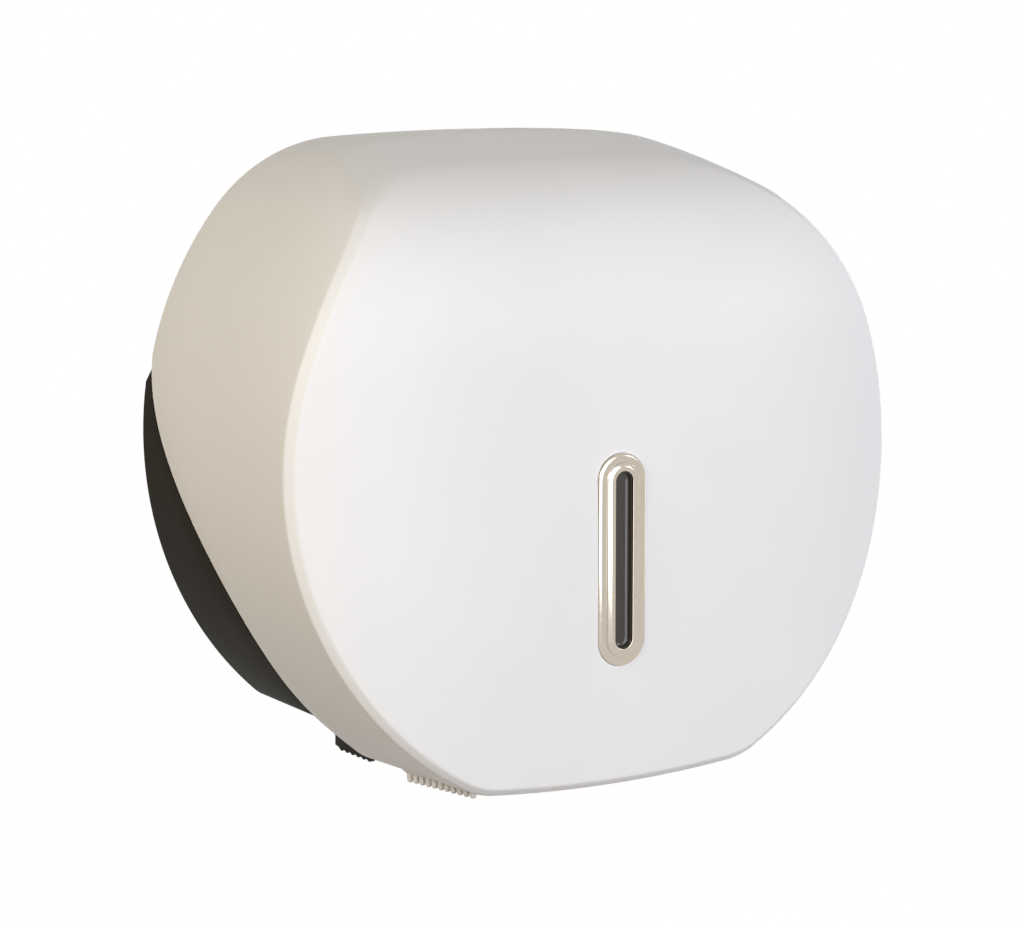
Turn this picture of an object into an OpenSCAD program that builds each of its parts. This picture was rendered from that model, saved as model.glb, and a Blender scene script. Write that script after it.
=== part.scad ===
/* Wall dispenser for one jumbo toilet roll.
   X runs to the right as seen from the front, -Y points out of the wall, +Z is up.
   The origin is the roll's axis on the wall plane, which is also the middle of the wall fixings.
   Sizes with a name ending in _h are heights above the bottom edge of the cover,
   and sizes ending in _y are depths from the wall. */

/* [Outline] */
// Half width of the body at the wall
wall_half_w = 131; // [127:0.5:134]
// Half width of the body at the front edge
front_half_w = 135; // [132:0.5:140]
// Height of the top at the wall
wall_top_h = 241; // [236:0.5:250]
// Height of the top at the front edge
front_top_h = 236.5; // [232:0.5:240]
// Height of the widest place at the wall
wall_mid_h = 128; // [124:0.5:132]
// Height of the widest place at the front edge
front_mid_h = 123.5; // [120:0.5:128]
// Radius of the flat arc over the top
crown_r = 1040; // [700:10:2000]
// Radius of the shoulders at the wall
wall_shoulder_r = 72; // [66:1:80]
// Radius of the shoulders at the front edge
front_shoulder_r = 66; // [60:1:72]
// Radius of the sides above the widest place at the wall
wall_upper_r = 135; // [130:1:140]
// Radius of the sides above the widest place at the front edge
front_upper_r = 129; // [125:1:134]
// Radius of the sides below the widest place at the wall
wall_lower_r = 142; // [138:1:146]
// Radius of the sides below the widest place at the front edge
front_lower_r = 134; // [131:1:138]
// Angle below the widest place at which the sides change radius
turn_a = 47; // [45:1:49]
// Half width of the bottom, at its corners
bottom_half_w = 59.5; // [58:0.5:62]
// Bulge of the upper sides between the wall and the front edge
side_bulge = 4.7; // [3:0.1:5.5]
// Height of the outline's lowest line at the wall
wall_low_h = -4.6; // [-8:0.2:-2]
// Rise of the bottom edge from its middle to its corners
bottom_bow = 3; // [1.5:0.5:4]
// Rounding of the bottom corners
corner_round = 6; // [4:0.5:8]

/* [Front face] */
// Depth of the face at its bottom edge
face_y = 138.5; // [134:0.5:146]
// Lean of the face towards the wall for each unit of height
face_lean = 0.036; // [0.02:0.002:0.05]
// Fall of the face at its sides
side_fall = 11; // [8:0.5:14]
// Power of the curve across the face
side_power = 3.9; // [2.5:0.1:5]
// Fall of the face at its bottom edge
end_fall = 6; // [3:0.5:8]
// Height at which the face starts to roll over into the top
roll_start_h = 155; // [145:1:165]
// Height above the front edge's top at which the roll-over would end
roll_rise = 4.5; // [3:0.5:8]
// Power of the roll-over curve
roll_power = 3; // [2.6:0.1:3.4]
// Width of the bevel round the face
bevel_w = 2.7; // [1.5:0.1:4]
// Wall thickness of the cover
cover_wall = 3; // [2.6:0.1:3.4]

/* [Parting line] */
// Greatest depth of the base's side skirt
skirt_y = 56; // [52:1:60]
// Height at which the skirt is deepest
skirt_deep_h = 50; // [46:1:54]
// Height at which the skirt fades out at the wall
skirt_end_h = 172; // [165:1:178]
// Depth of the base's floor
floor_y = 46; // [42:0.5:47]
// Gap between the cover and what it closes on
parting_gap = 0.8; // [0.5:0.1:1.2]
// Gap between the cover's upper edge and the wall
wall_gap = 1.5; // [1:0.1:2.5]

/* [Base] */
// Height of the roll's axis
axis_h = 116; // [112:1:120]
// Thickness of the back panel
panel_t = 3; // [2.5:0.1:4]
// Thickness of the tongue and the floor
tongue_t = 2.4; // [2:0.1:3]
// Reach of the tongue into the cover
tongue_y = 8; // [6:0.5:10]
// Height of the floor's underside
floor_h = 18.5; // [17.5:0.5:20]
// Height of the ribs on the back panel
rib_y = 4; // [2:0.5:5]
// Thickness of the ribs
rib_t = 2; // [1.6:0.1:2.6]
// Distance from the roll's axis to the ends of the ribs
rib_end_r = 90; // [80:1:95]
// Distance between the wall screw slots across
screw_dx = 140; // [130:1:150]
// Distance between the wall screw slots up and down
screw_dz = 110; // [100:1:120]
// Width of the wall screw slots
screw_slot_w = 5.5; // [4.5:0.1:6.5]
// Length of the wall screw slots
screw_slot_l = 11; // [9:0.5:14]

/* [Hinge] */
// Depth of the hinge axis
hinge_y = 50; // [49.5:0.5:52]
// Height of the hinge axis
hinge_h = 9.5; // [9:0.5:10]
// Diameter of the hinge pins
hinge_pin_d = 5; // [4:0.1:5.4]
// Length of the hinge pins under the head
hinge_pin_l = 9; // [8:0.5:9.5]
// Diameter of the hinge pins' heads
pin_head_d = 8; // [7:0.5:9]
// Running clearance round the hinge pins
pin_clear = 0.05; // [0.02:0.01:0.08]
// Distance of the hinge cheeks' inner faces from the bottom's corners
cheek_in = 4.5; // [4:0.5:5.5]
// Thickness of the hinge cheeks
cheek_t = 3; // [2.5:0.1:3.2]
// Radius of the round lug at the end of each cheek
lug_r = 6; // [5:0.5:6.5]

/* [Window] */
// Width of the bezel
bezel_w = 21; // [19:0.5:26]
// Length of the bezel
bezel_l = 81; // [78:1:95]
// Height of the window's middle
window_h = 87; // [80:1:95]
// Width of the opening in the bezel
view_w = 7.8; // [6:0.2:9]
// Length of the opening in the bezel
view_l = 67.5; // [60:0.5:70]
// Width of the raised lip round the opening
lip_w = 2.6; // [2.2:0.1:3]
// Thickness of the bezel's flange
flange_t = 2.4; // [2:0.1:3]
// Rise of the lip above the flange
lip_t = 1; // [0.6:0.1:1.6]
// Depth of the seat that the bezel lies in, from the wall
seat_y = 133.6; // [133:0.1:134]
// Fit of the window's pieces in each other
window_fit = 0.1; // [0.05:0.05:0.2]

/* [Tear combs] */
// Number of teeth on each front comb
front_teeth = 11; // [8:1:11]
// Pitch of the front combs
front_pitch = 4.7; // [4:0.1:4.8]
// Depth at which the front combs begin
front_comb_y = 74; // [72:0.5:76]
// Number of teeth on each rear comb
rear_teeth = 8; // [5:1:8]
// Pitch of the rear combs
rear_pitch = 4.6; // [4:0.1:4.7]
// Depth at which the rear combs begin
rear_comb_y = 8; // [6:0.5:8.5]
// Length of the teeth
tooth_l = 3.5; // [2.5:0.1:4]
// Upward tilt of the front combs
front_tilt = 4.6; // [3:0.2:5]
// Downward tilt of the rear combs
rear_tilt = 3.8; // [2:0.2:4.4]
// Thickness of the combs
comb_t = 2.4; // [2:0.1:2.8]
// Height of the bar that carries the teeth
comb_bar = 6; // [5:0.5:7]

/* [Roll holder] */
// Diameter of the post
post_d = 24; // [21:0.5:27]
// Length of the post in front of its flange
post_l = 78; // [72:1:84]
// Diameter of the post's flange
post_flange_d = 56; // [52:1:60]
// Thickness of the post's flange
post_flange_t = 4; // [3.5:0.5:5]
// Diameter of the turning hub that carries the core
hub_d = 43; // [40:0.5:44]
// Diameter of the hub's back flange
hub_flange_d = 62; // [58:1:70]
// Running clearance between the hub and the post
hub_clear = 0.06; // [0.02:0.01:0.09]

/* [Lock] */
// Height of the lock
lock_h = 126; // [122:1:128]
// Depth of the lock
lock_y = 42; // [40:0.5:44]
// Diameter of the housing's body
lock_d = 14; // [13:0.5:15]
// Diameter of the housing's head
lock_head_d = 18; // [17.5:0.5:20]
// Diameter of the turning barrel
barrel_d = 9; // [8:0.5:10]
// Running clearance round the barrel
barrel_clear = 0.05; // [0.02:0.01:0.08]
// Length of the cam from the barrel's axis to its tip
cam_l = 22; // [19:0.5:23]
// Thickness of the cam
cam_t = 2; // [1.5:0.1:2.5]
// Room between the locked cam and the keeper
cam_room = 1.5; // [0.8:0.1:2]
// Thickness of the keeper
keeper_t = 2; // [1.5:0.1:2.5]

/* [Hidden] */
$fn = 48;

n_crown = 6;
n_shoulder = 10;
n_upper = 7;
n_lower = 11;
n_corner = 3;
n_bottom = 4;
face_steps = [0.1, 0.26, 0.42, 0.56, 0.68, 0.78, 0.86, 0.92, 0.96, 0.985, 1];
side_steps = [0.85, 0.67, 0.5, 0.33, 0.16];

function lerp(a, b, t) = a + (b - a) * t;
function clamp01(t) = max(0, min(1, t));
function polar(r, a) = r * [cos(a), sin(a)];
function arc(c, r, a0, a1, n) = [for (i = [0 : n - 1]) c + polar(r, lerp(a0, a1, i / n))];

// Right meeting point of two circles
function meet(c1, r1, c2, r2) =
    let (d = norm(c2 - c1), u = (c2 - c1) / d)
    let (a = (r1 * r1 - r2 * r2 + d * d) / (2 * d), h = sqrt(max(0, r1 * r1 - a * a)))
    let (p = c1 + a * u + h * [-u[1], u[0]], q = c1 + a * u - h * [-u[1], u[0]])
    p[0] > q[0] ? p : q;

// Right side below the widest place, as an arc and a tail that ends at the bottom corner:
// its point at length l down the side, moved in by d. k = [centre, radius, corner]
function tail_turn(k) =
    let (q = k[2] - k[0] - polar(k[1], -turn_a)) [norm(q), atan2(-q[0], -q[1]) - turn_a];
function lower_side(k, l, d) =
    let (a = l / k[1] * 180 / PI, t = tail_turn(k), l1 = k[1] * turn_a * PI / 180, u = (l - l1) / t[0])
    let (run = abs(t[1]) < 0.01 ? u : sin(t[1] * u) / sin(t[1]), m = turn_a + t[1] * u, e = m + t[1] * u)
    l < l1 ? k[0] + polar(k[1] - d, -a)
    : k[0] + polar(k[1], -turn_a) - t[0] * run * [sin(m), cos(m)] - d * [cos(e), -sin(e)];

// Length down the side at which it comes to height h
function side_length(k, h, d, l0, l1, n = 24) =
    let (l = (l0 + l1) / 2) n == 0 ? l
    : lower_side(k, l, d)[1] > h ? side_length(k, h, d, l, l1, n - 1) : side_length(k, h, d, l0, l, n - 1);

// Right half of the outline, top middle to bottom middle, at depth share v and moved in by d
function half_outline(v, d, low_h, bow) =
    let (w = lerp(wall_half_w, front_half_w, v) - d, top = lerp(wall_top_h, front_top_h, v) - d)
    let (mid = lerp(wall_mid_h, front_mid_h, v), low = low_h + d, rt = crown_r - d)
    let (rs = lerp(wall_shoulder_r, front_shoulder_r, v) - d, ru = lerp(wall_upper_r, front_upper_r, v) - d)
    let (ct = [0, top - rt], cu = [w - ru, mid], cs = meet(ct, rt - rs, cu, ru - rs))
    let (a_top = atan2(cs[1] - ct[1], cs[0] - ct[0]), a_side = atan2(cs[1] - cu[1], cs[0] - cu[0]))
    let (rl = lerp(wall_lower_r, front_lower_r, v), own_low = lerp(wall_low_h, 0, v))
    let (k = [[w + d - rl, mid], rl, [bottom_half_w, own_low + bottom_bow]])
    let (l_end = side_length(k, low + bow, d, 0, 2 * rl), l_round = l_end - corner_round)
    let (pc = lower_side(k, l_end, d), pa = lower_side(k, l_round, d))
    let (xb = pc[0] - corner_round, pb = [xb, low + bow * pow(xb / pc[0], 2)])
    concat(
        arc(ct, rt, 90, a_top, n_crown),
        arc(cs, rs, a_top, a_side, n_shoulder),
        arc(cu, ru, a_side, 0, n_upper),
        [for (i = [0 : n_lower - 1]) lower_side(k, l_round * i / n_lower, d)],
        [for (i = [0 : n_corner]) let (t = i / n_corner) (1 - t) * (1 - t) * pa + 2 * t * (1 - t) * pc + t * t * pb],
        [for (i = [1 : n_bottom]) let (x = xb * (1 - i / n_bottom)) [x, low + bow * pow(x / pc[0], 2)]]);

// The whole closed outline, clockwise from the top middle as seen from the front
function whole(h) = concat(h, [for (i = [len(h) - 2 : -1 : 1]) [-h[i][0], h[i][1]]]);

// Depth of the front surface at x and height h, moved in by d
function face_depth(x, h, d) =
    let (s = clamp01((h - roll_start_h) / (front_top_h + roll_rise - d - roll_start_h)))
    let (fall = side_fall * pow(abs(x) / wall_half_w, side_power) + end_fall * pow(1 - h / front_mid_h, 2))
    (face_y - d - face_lean * h - fall) * pow(1 - pow(s, roll_power), 1 / roll_power);

// Depth of the parting line at height h
function seam_y(h) =
    let (c = cos(90 * (h - skirt_deep_h) / (skirt_end_h - skirt_deep_h)), y = skirt_y * c * c)
    h > skirt_end_h ? 0 : h < skirt_deep_h ? max(floor_y + parting_gap, y) : y;

// Outlines of the cover at the wall and at the front edge, and the depth of that edge
cover_back = whole(half_outline(0, 0, wall_low_h, bottom_bow));
cover_back_in = whole(half_outline(0, cover_wall, wall_low_h, bottom_bow));
cover_front = whole(half_outline(1, 0, 0, bottom_bow));
cover_front_in = whole(half_outline(1, cover_wall, 0, bottom_bow));
bevel_line = whole(half_outline(1, bevel_w, 0, bottom_bow));
edge_y = [for (p = cover_front) face_depth(p[0], p[1], 0) - bevel_w];
ring = [0 : len(cover_front) - 1];

// Point of a side at depth y, between the wall outline a and the front outline b, with its bulge
function side_point(a, b, i, y, e) =
    let (t = y / e[i], p = lerp(a[i], b[i], t), r = p - [0, front_mid_h], u = r / norm(r))
    let (q = p + u * side_bulge * 6.75 * t * t * (1 - t) * max(0, u[1]))
    [q[0], -y, q[1]];

// Half width of the side at depth y and height h, and height of the bottom at depth y and half width x
right_half = [0 : n_crown + n_shoulder + n_upper + n_lower + n_corner + n_bottom - 1];
function side_at(a, b, y, h) = max([for (i = right_half)
    let (p = side_point(a, b, i, y, edge_y), q = side_point(a, b, i + 1, y, edge_y))
    if (p[2] >= h && q[2] < h) lerp(p[0], q[0], (p[2] - h) / (p[2] - q[2]))]);
function bottom_at(a, b, y, x) = min([for (i = right_half)
    let (p = side_point(a, b, i, y, edge_y), q = side_point(a, b, i + 1, y, edge_y))
    if (p[0] >= x && q[0] < x) lerp(p[2], q[2], (p[0] - x) / (p[0] - q[0]))]);

function face_point(p, d) = [p[0], -face_depth(p[0], p[1], d), p[1]];
function face_ring(line, s, d) =
    [for (p = line) let (c = [0, front_mid_h], q = c + (p - c) * s) face_point(q, d)];

// Closed skin through rings of equal length, with a fan to a point at each end
module skin(first, rings, last) {
    n = len(rings[0]);
    m = len(rings);
    points = concat([first], [for (r = rings) for (p = r) p], [last]);
    function at(k, i) = 1 + k * n + i % n;
    faces = concat(
        [for (i = [0 : n - 1]) [0, at(0, i), at(0, i + 1)]],
        [for (k = [0 : m - 2]) for (i = [0 : n - 1]) [at(k, i), at(k + 1, i + 1), at(k, i + 1)]],
        [for (k = [0 : m - 2]) for (i = [0 : n - 1]) [at(k, i), at(k + 1, i), at(k + 1, i + 1)]],
        [for (i = [0 : n - 1]) [1 + m * n, at(m - 1, i + 1), at(m - 1, i)]]);
    polyhedron(points, faces);
}

// Everything is laid out above the cover's bottom edge and then lowered onto the roll's axis
module from_bottom() translate([0, 0, -axis_h]) children();

module both_sides() {
    children();
    mirror([1, 0, 0]) children();
}

// Flat outline in X and height, stretched from depth y1 to depth y2
module slab(y1, y2) translate([0, -y1, 0]) rotate([90, 0, 0]) linear_extrude(y2 - y1) children();

// Flat outline in Y and height, stretched from x1 to x2
module plank(x1, x2) translate([x1, 0, 0]) rotate([90, 0, 90]) linear_extrude(x2 - x1) children();

// Round bars along Y and along X
module rod_y(d, y1, y2) translate([0, -y1, 0]) rotate([90, 0, 0]) cylinder(d = d, h = y2 - y1);
module rod_x(d, x1, x2) translate([x1, 0, 0]) rotate([0, 90, 0]) cylinder(d = d, h = x2 - x1);

module stadium(w, l) {
    square([w, l - w], center = true);
    for (s = [-1, 1]) translate([0, s * (l - w) / 2]) circle(d = w);
}

// ---- places of the fittings

side_x = side_at(cover_back, cover_front, lock_y, lock_h);
tongue_d = cover_wall + parting_gap;

front_comb_l = front_teeth * front_pitch;
rear_comb_l = rear_teeth * rear_pitch;
cheek_x = bottom_half_w - cheek_in;
slot_taper = 2.6;
slot_rear_x = bottom_half_w;
slot_front_y = front_comb_y + front_comb_l + 0.5;
slot_front_x = slot_rear_x - (slot_front_y - floor_y) * tan(slot_taper);
rib_room = 0.6;
peg_d = 3;
peg_l = 2.2;
peg_fit = 0.1;
peg_z = tooth_l + comb_bar * 0.62;

seat_w = bezel_w + 2 * window_fit;
seat_l = bezel_l + 2 * window_fit;
tube_w = view_w + 2 * lip_w;
tube_l = view_l + 2 * lip_w;
tube_reach = 5;
tube_y = seat_y - tube_reach;
lens_w = view_w + 2.4;
lens_l = view_l + 2.4;
lens_t = 1.5;
lens_in = 2.1;
lens_seat_y = seat_y - lens_in;
cap_wall = 2;
cap_t = 1.5;
cap_front_y = seat_y - 2.8;

pad_y = 8;
flange_y = pad_y + post_flange_t;
post_y = flange_y + post_l;
hub_gap = 0.5;
washer_t = 1.6;
hub_cross_w = 1.4;
hub_cross_l = 6.4;
flange_screw_r = post_flange_d * 0.39;
screw_fit = 0.1;
screw_thread_d = 3.5;
screw_head_d = 7;

spot_x = side_x - 0.8;
boss_x = side_x - cover_wall - 2.9;
housing_l = 17.6;
head_t = 2;
housing_end_x = spot_x - housing_l;
barrel_end_x = housing_end_x - 0.2;
nut_t = 4;
nut_w = lock_d + 5;
nut_room = 1;
cam_x = barrel_end_x - cam_t;
cam_w = 10;
stub_d = 6;
keeper_x = cam_x - 5;
keeper_w = 10;
keeper_pad_y = 10;
keeper_lip_y = lock_y + cam_w / 2 + cam_room;
keeper_leg_h = lock_h + cam_l + 2;
keeper_foot_l = 18;

module at_spindle() translate([0, 0, axis_h]) children();
module at_lock() translate([0, -lock_y, lock_h]) children();
module at_hinge() translate([0, -hinge_y, hinge_h]) children();
module at_window() translate([0, 0, window_h]) children();

// Frames of the combs: X outwards from the comb's outer face, -Y forwards, Z up from the tips
module at_front_comb() {
    x = slot_rear_x - (front_comb_y - floor_y) * tan(slot_taper);
    translate([x, -front_comb_y, -tooth_l]) rotate([0, 0, -slot_taper]) rotate([-front_tilt, 0, 0]) children();
}
module at_rear_comb() translate([cheek_x, -rear_comb_y, 0]) rotate([rear_tilt, 0, 0]) children();
module peg_places(l) for (s = [0.16, 0.84]) translate([0, -l * s, peg_z]) children();

// ---- cover

cover_rear_y = [for (i = ring)
    let (y0 = seam_y(cover_back[i][1]), h = lerp(cover_back[i][1], cover_front[i][1], y0 / edge_y[i]))
    max(wall_gap, seam_y(h))];

function side_ring(a, b, s) = [for (i = ring) side_point(a, b, i, lerp(cover_rear_y[i], edge_y[i], s), edge_y)];

module cover_shell() skin(
    face_point([0, front_mid_h], 0),
    concat(
        [for (s = face_steps) face_ring(bevel_line, s, 0)],
        [[for (i = ring) side_point(cover_back, cover_front, i, edge_y[i], edge_y)]],
        [for (s = side_steps) side_ring(cover_back, cover_front, s)],
        [side_ring(cover_back, cover_front, 0), side_ring(cover_back_in, cover_front_in, 0)],
        [for (k = [len(side_steps) - 1 : -1 : 0]) side_ring(cover_back_in, cover_front_in, side_steps[k] * 0.95)],
        [for (k = [len(face_steps) - 1 : -1 : 0]) face_ring(cover_front_in, face_steps[k], cover_wall)]),
    face_point([0, front_mid_h], cover_wall));

module paper_slot() translate([0, 0, wall_low_h - 5]) linear_extrude(floor_h - wall_low_h) polygon([
    [-slot_rear_x - rib_room, -floor_y + parting_gap],
    [-slot_rear_x - rib_room, -floor_y],
    [-slot_front_x - rib_room, -slot_front_y],
    [slot_front_x + rib_room, -slot_front_y],
    [slot_rear_x + rib_room, -floor_y],
    [slot_rear_x + rib_room, -floor_y + parting_gap]]);

// Rail that a front comb is pegged to, standing on the sloping side wall
rail_w = 6;
function rail_section(y) =
    let (x = slot_rear_x - (y - floor_y) * tan(slot_taper), tip = (y - front_comb_y) * sin(front_tilt) - tooth_l)
    let (low = tip + tooth_l + 0.7, high = tip + tooth_l + comb_bar + 2)
    let (foot = bottom_at(cover_back_in, cover_front_in, y, x + rail_w) - cover_wall / 2)
    [[x, -y, low], [x, -y, high], [x + rail_w, -y, high], [x + rail_w, -y, foot]];

module comb_rail() {
    rear = rail_section(front_comb_y - 1);
    front = rail_section(slot_front_y + 2);
    skin((front[0] + front[2]) / 2, [front, rear], (rear[0] + rear[2]) / 2);
}

// Block on the side wall that a hinge pin is pressed into
module hinge_block() {
    x = cheek_x + cheek_t + 0.6;
    low = hinge_h - lug_r + 1.5;
    high = hinge_h + lug_r - 1.5;
    function wall_at(h) = side_at(cover_back_in, cover_front_in, hinge_y, h) + cover_wall / 2;
    slab(floor_y + parting_gap, hinge_y + lug_r)
        polygon([[x, low], [wall_at(low + 1), low + 1], [wall_at(high), high], [x, high]]);
}

module cover() color("white") from_bottom() difference() {
    union() {
        difference() {
            cover_shell();
            paper_slot();
        }
        both_sides() {
            comb_rail();
            hinge_block();
        }
        at_lock() rod_x(24, boss_x, spot_x - 1);
    }
    both_sides() {
        at_hinge() rod_x(hinge_pin_d, cheek_x + cheek_t, cheek_x + hinge_pin_l + 0.5);
        at_front_comb() peg_places(front_comb_l) rod_x(peg_d + 2 * peg_fit, -1, peg_l + 0.3);
    }
    at_window() slab(seat_y, face_y + 2) stadium(seat_w, seat_l);
    at_window() slab(seat_y - 8, seat_y + 1) stadium(tube_w + 2 * window_fit, tube_l + 2 * window_fit);
    at_lock() rod_x(lock_head_d + 1, spot_x, spot_x + 5);
    at_lock() rod_x(lock_d + 2 * screw_fit, boss_x - 1, spot_x + 1);
}

module front_comb() color("whitesmoke") {
    translate([-comb_t, -front_comb_l, tooth_l]) cube([comb_t, front_comb_l, comb_bar]);
    for (i = [0 : front_teeth - 1]) translate([-comb_t / 2, -(i + 0.5) * front_pitch, 0]) {
        translate([0, 0, 1.5]) cylinder(d = comb_t + rib_room, h = tooth_l - 1);
        translate([0, 0, 1.5]) sphere(d = comb_t + rib_room);
    }
    peg_places(front_comb_l) rod_x(peg_d, -0.5, peg_l);
}

module cover_comb_left() from_bottom() mirror([1, 0, 0]) at_front_comb() front_comb();
module cover_comb_right() from_bottom() at_front_comb() front_comb();

// ---- window

module window_frame() color("silver") from_bottom() at_window() difference() {
    union() {
        slab(seat_y, seat_y + flange_t) stadium(bezel_w, bezel_l);
        slab(seat_y, seat_y + flange_t + lip_t) stadium(tube_w, tube_l);
        slab(tube_y, seat_y + 1) stadium(tube_w, tube_l);
    }
    slab(tube_y - 1, seat_y + flange_t + lip_t + 1) stadium(view_w, view_l);
    slab(tube_y - 1, lens_seat_y) stadium(lens_w + 2 * window_fit, lens_l + 2 * window_fit);
}

module window_lens() color("dimgray") from_bottom() at_window() {
    r = view_w / 2 - 0.3;
    slab(lens_seat_y - lens_t, lens_seat_y) stadium(lens_w, lens_l);
    slab(lens_seat_y, lens_seat_y + 1) stadium(2 * r, view_l - 0.6);
    translate([0, -lens_seat_y - 1, 0]) intersection() {
        union() {
            cylinder(r = r, h = view_l - 0.6 - 2 * r, center = true);
            for (s = [-1, 1]) translate([0, 0, s * (view_l / 2 - 0.3 - r)]) sphere(r = r);
        }
        translate([-r - 1, -r - 1, -view_l]) cube([2 * r + 2, r + 1, 2 * view_l]);
    }
}

module window_retainer() color("black") from_bottom() at_window() difference() {
    slab(tube_y - cap_t, cap_front_y) stadium(tube_w + 2 * cap_wall, tube_l + 2 * cap_wall);
    slab(tube_y, cap_front_y + 1) stadium(tube_w + window_fit, tube_l + window_fit);
    slab(tube_y - cap_t - 1, tube_y + 1) stadium(view_w + 0.6, view_l + 0.6);
}

// ---- base

base_back = whole(half_outline(0, 0, floor_h, 0));
base_front = whole(half_outline(1, 0, floor_h, 0));
base_edge_y = [for (p = base_front) face_depth(p[0], p[1], 0) - bevel_w];

// The base's outline at depth y, moved in by d there
base_at = [for (d = [0, tongue_d, cover_wall, tongue_d + tongue_t, tongue_d - 0.6])
    [whole(half_outline(0, d, floor_h, 0)), whole(half_outline(1, d, floor_h, 0))]];
function base_point(k, i, y) = side_point(base_at[k][0], base_at[k][1], i, y, base_edge_y);

// Depth of the skirt, share of the skirt wall that shows, and reach of the tongue at each point
skirt = [for (i = ring)
    let (y0 = seam_y(base_back[i][1]), h = lerp(base_back[i][1], base_front[i][1], y0 / base_edge_y[i]))
    max(1, seam_y(h) - parting_gap)];
shown = [for (i = ring) clamp01((skirt[i] - 1) / 3)];
deep = [for (i = ring) clamp01((skirt[i] - 8) / 8)];
reach = [for (i = ring) lerp(0.5, tongue_y, clamp01((base_back[i][1] - floor_h - 10) / 20))];

module base_shell() skin(
    [0, -panel_t, axis_h],
    [
        [for (i = ring) lerp(base_point(3, i, panel_t), base_point(2, i, panel_t), deep[i])],
        [for (i = ring) let (y = max(panel_t + 0.5, skirt[i] - 5))
            lerp(base_point(3, i, y), base_point(2, i, y), deep[i])],
        [for (i = ring) base_point(3, i, max(panel_t + 1, skirt[i] - 2))],
        [for (i = ring) base_point(3, i, skirt[i] + reach[i])],
        [for (i = ring) base_point(1, i, skirt[i] + reach[i])],
        [for (i = ring) base_point(1, i, skirt[i])],
        [for (i = ring) lerp(base_point(4, i, skirt[i]), base_point(0, i, skirt[i]), shown[i])],
        [for (i = ring) lerp(base_point(4, i, 0), base_point(0, i, 0), shown[i])]
    ],
    [0, 0, axis_h]);

module cheek() plank(cheek_x, cheek_x + cheek_t) {
    polygon([
        [-6, 4],
        [-hinge_y, hinge_h - lug_r],
        [-hinge_y - lug_r, hinge_h],
        [-floor_y - 0.5, floor_h + tongue_t],
        [-2, floor_h + tongue_t],
        [-2, 8]]);
    translate([-hinge_y, hinge_h]) circle(r = lug_r);
}

module at_wall_screws() for (x = [-1, 1], z = [-1, 1])
    translate([x * screw_dx / 2, 0, axis_h + z * screw_dz / 2]) children();

module at_flange_screws() at_spindle() for (a = [90, 210, 330])
    translate([flange_screw_r * cos(a), 0, flange_screw_r * sin(a)]) children();

module at_keeper_screws() for (s = [0.35, 0.8])
    translate([keeper_x + keeper_w / 2, 0, keeper_leg_h + s * keeper_foot_l]) children();

module base_plate() color("dimgray") from_bottom() difference() {
    union() {
        base_shell();
        both_sides() cheek();
        at_spindle() rod_y(post_flange_d + 4, panel_t - 1, pad_y);
        at_wall_screws() rod_y(18, panel_t - 1, panel_t + 2);
        at_spindle() for (a = [0, 62, 90, 118, 180, 242, 270, 298]) rotate([0, -a, 0])
            translate([post_flange_d / 2, -panel_t - rib_y, -rib_t / 2])
                cube([rib_end_r - post_flange_d / 2, rib_y + 1, rib_t]);
        slab(panel_t - 1, keeper_pad_y) translate([keeper_x - 1, keeper_leg_h])
            square([keeper_w + 2, keeper_foot_l + 1]);
    }
    at_wall_screws() slab(-1, panel_t + 3) rotate(90) stadium(screw_slot_w, screw_slot_l);
    at_flange_screws() rod_y(screw_thread_d + screw_fit, 1, pad_y + 1);
    at_keeper_screws() rod_y(screw_thread_d + screw_fit, 1, keeper_pad_y + 1);
    at_lock() rod_x(nut_w / cos(30) + 2 * nut_room, cam_x - nut_room, side_x);
    both_sides() {
        at_hinge() rod_x(hinge_pin_d + 2 * pin_clear, cheek_x - 1, cheek_x + cheek_t + 1);
        at_rear_comb() peg_places(rear_comb_l) rod_x(peg_d + 2 * peg_fit, -1, cheek_t + 1);
    }
}

module rear_comb() color("#303030") {
    plank(-comb_t, 0) polygon(concat(
        [[0, tooth_l + comb_bar], [0, tooth_l]],
        [for (i = [0 : rear_teeth - 1]) each [
            [-(i + 0.5) * rear_pitch, 0],
            [-(i + 1) * rear_pitch, i == rear_teeth - 1 ? tooth_l : tooth_l * 0.25]]],
        [[-rear_comb_l, tooth_l + comb_bar]]));
    peg_places(rear_comb_l) rod_x(peg_d, -0.5, peg_l);
}

module base_comb_left() from_bottom() mirror([1, 0, 0]) at_rear_comb() rear_comb();
module base_comb_right() from_bottom() at_rear_comb() rear_comb();

// ---- hinge pins

module hinge_pin() color("silver") from_bottom() at_hinge() {
    rod_x(hinge_pin_d, cheek_x - 0.6, cheek_x + hinge_pin_l);
    rod_x(pin_head_d, cheek_x - 1.1, cheek_x - 0.1);
}
module hinge_pin_right() hinge_pin();
module hinge_pin_left() mirror([1, 0, 0]) hinge_pin();

// ---- roll holder

module spindle_post() color("gray") from_bottom() difference() {
    union() {
        at_spindle() rod_y(post_flange_d, pad_y, flange_y);
        at_spindle() rod_y(post_d, pad_y, post_y);
    }
    at_spindle() rod_y(5, post_y - 22, post_y + 1);
    at_flange_screws() rod_y(screw_thread_d + 0.5, pad_y - 1, flange_y + 1);
    at_flange_screws() rod_y(screw_head_d + 0.6, flange_y - 2, flange_y + 1);
}

module spindle_screws() color("silver") from_bottom() at_flange_screws() difference() {
    union() {
        rod_y(screw_thread_d, 2, flange_y - 1);
        rod_y(screw_head_d, flange_y - 2, flange_y - 0.1);
    }
    slab(flange_y - 1.2, flange_y) square([1, 5], center = true);
    slab(flange_y - 1.2, flange_y) square([5, 1], center = true);
}

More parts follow.
